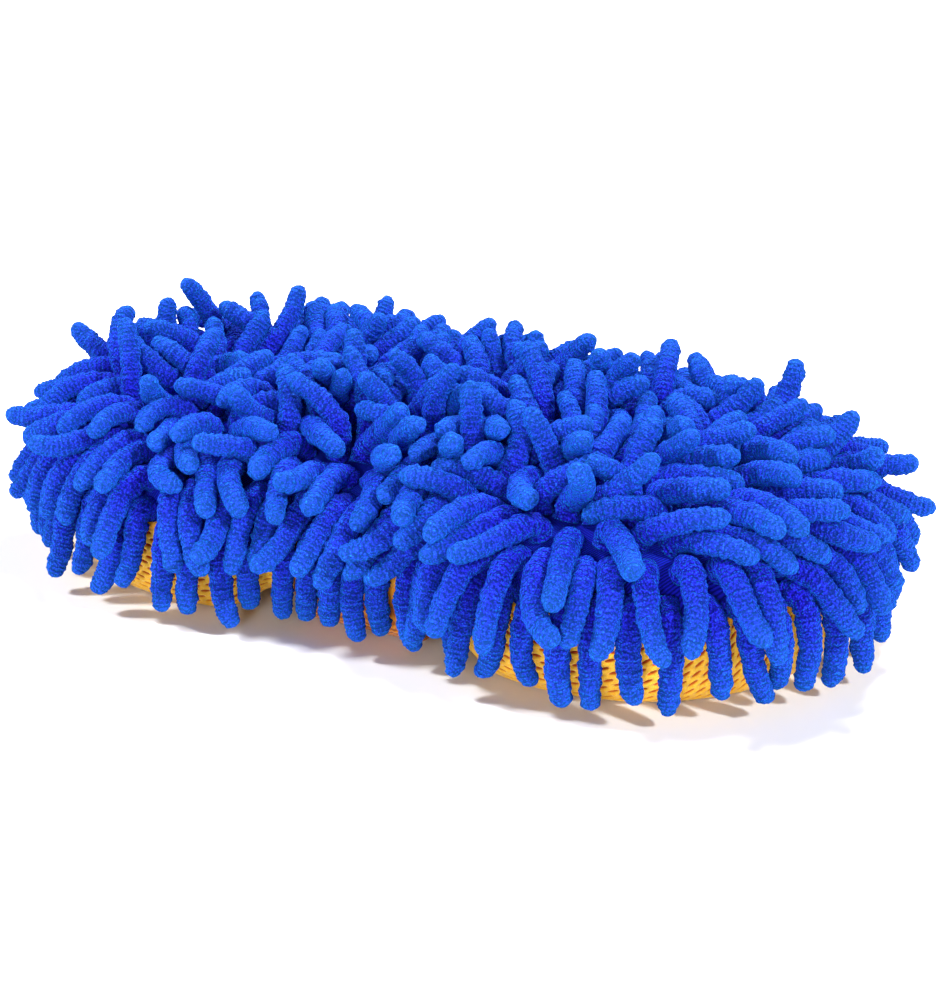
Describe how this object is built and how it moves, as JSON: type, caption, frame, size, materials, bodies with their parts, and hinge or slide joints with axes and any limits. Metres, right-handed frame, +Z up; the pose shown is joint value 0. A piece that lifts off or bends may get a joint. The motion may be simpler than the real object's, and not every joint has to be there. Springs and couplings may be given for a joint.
{
  "type": "wash mitt",
  "caption": "Soft figure-of-eight car wash mitt: thick blue chenille fingers over a foam core, with a yellow air-mesh underside and an elastic hand strap.",
  "frame": {"origin": "on the surface that the mitt lies on, midway between its two lobes", "axes": "+X along the mitt from the left lobe to the right lobe, +Y from the front side to the back side, +Z up from the mesh to the chenille crown"},
  "size_m": [0.2808, 0.157, 0.0686],
  "materials": {
    "chenille": "fuzzy chenille pile",
    "knit_backing": "ribbed knit",
    "mesh": "open air mesh",
    "foam": "open-cell foam",
    "thread": "sewn thread",
    "webbing": "ribbed elastic"
  },
  "bodies": {
    "root": {"chenille_right_lobe_row_1": "chenille", "chenille_back_waist_row_1": "chenille", "chenille_left_lobe_row_1": "chenille", "chenille_front_waist_row_1": "chenille", "chenille_right_lobe_row_2": "chenille", "chenille_back_waist_row_2": "chenille", "chenille_left_lobe_row_2": "chenille", "chenille_front_waist_row_2": "chenille", "chenille_right_lobe_row_3": "chenille", "chenille_back_waist_row_3": "chenille", "chenille_left_lobe_row_3": "chenille", "chenille_front_waist_row_3": "chenille", "chenille_right_lobe_row_4": "chenille", "chenille_back_waist_row_4": "chenille", "chenille_left_lobe_row_4": "chenille", "chenille_front_waist_row_4": "chenille", "chenille_right_lobe_row_5": "chenille", "chenille_back_waist_row_5": "chenille", "chenille_left_lobe_row_5": "chenille", "chenille_front_waist_row_5": "chenille", "chenille_right_lobe_row_6": "chenille", "chenille_back_waist_row_6": "chenille", "chenille_left_lobe_row_6": "chenille", "chenille_front_waist_row_6": "chenille", "chenille_right_lobe_row_7": "chenille", "chenille_back_waist_row_7": "chenille", "chenille_left_lobe_row_7": "chenille", "chenille_front_waist_row_7": "chenille", "chenille_left_crown_row": "chenille", "chenille_right_crown_row": "chenille", "chenille_backing": "knit_backing", "mesh_cover": "mesh", "foam_core": "foam", "edge_seam": "thread", "hand_strap": "webbing", "strap_tack_front": "thread", "strap_tack_back": "thread"}
  },
  "joints": []
}
